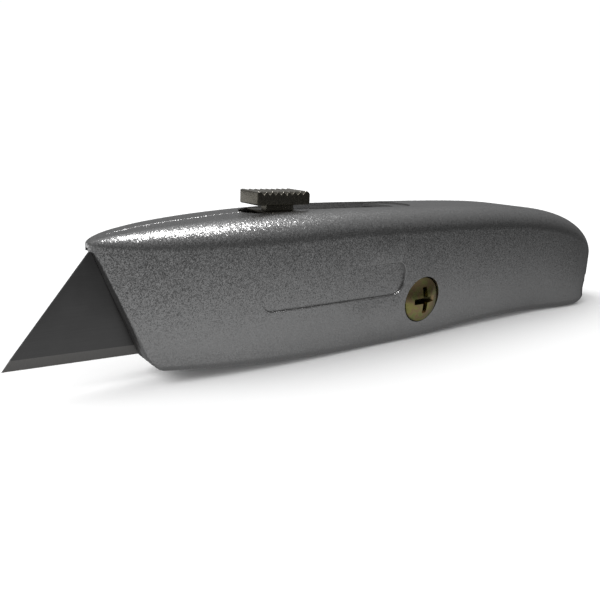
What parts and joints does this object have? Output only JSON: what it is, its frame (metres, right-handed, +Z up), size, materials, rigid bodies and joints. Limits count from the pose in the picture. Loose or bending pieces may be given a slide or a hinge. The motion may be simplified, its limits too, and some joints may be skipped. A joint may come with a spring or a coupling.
{
  "type": "utility knife",
  "caption": "Retractable utility knife: two-half die-cast body, sliding blade carrier with thumb button, trapezoid blade and spare blade store.",
  "frame": {"origin": "bottom centre of the knife's box, with the blade fully out and the belly on the ground plane", "axes": "+X from the blade's point to the tail, +Y to the right-hand side of the knife, +Z up, towards the thumb button"},
  "size_m": [0.1644, 0.0206, 0.0338],
  "materials": {
    "silver_paint": "metal-flake silver paint, semi-gloss",
    "yellow_passivated": "yellow passivated zinc plate, glossy",
    "dark_nickel": "dark nickel plate over a cast surface",
    "blade_steel": "oiled hardened strip, ground edge",
    "bare_zinc": "bare zinc casting",
    "spring_steel": "tempered strip",
    "tray_plastic": "moulded black plastic"
  },
  "bodies": {
    "left_half": {"left_shell": "silver_paint", "spare_blade_tray": "tray_plastic", "tray_spring": "spring_steel", "spare_blade_1": "blade_steel", "spare_blade_2": "blade_steel", "spare_blade_3": "blade_steel", "spare_blade_4": "blade_steel", "spare_blade_5": "blade_steel"},
    "right_half": {"right_shell": "silver_paint"},
    "screw": {"body_screw": "yellow_passivated"},
    "carrier": {"blade_carrier": "bare_zinc", "blade": "blade_steel", "blade_studs": "spring_steel", "detent_leaf": "spring_steel", "leaf_rivets": "spring_steel", "button_pin": "spring_steel"},
    "button": {"thumb_button": "dark_nickel"}
  },
  "joints": [
    {"name": "blade_slide", "type": "slide", "parent": "left_half", "child": "carrier", "axis": [1, 0, 0], "range_m": [0, 0.0228], "deforming": ["detent_leaf"]},
    {"name": "button_press", "type": "slide", "parent": "carrier", "child": "button", "axis": [0, 0, -1], "range_m": [0, 0.001], "stiffness_N_per_m": 1500, "springref_m": -0.001},
    {"name": "screw_turn", "type": "hinge", "parent": "left_half", "child": "screw", "pos_m": [0.0039, 0, 0.0096], "axis": [0, 1, 0], "continuous": true},
    {"name": "half_lift_off", "type": "slide", "parent": "left_half", "child": "right_half", "axis": [0, 1, 0], "range_m": [0, 0.03]}
  ]
}
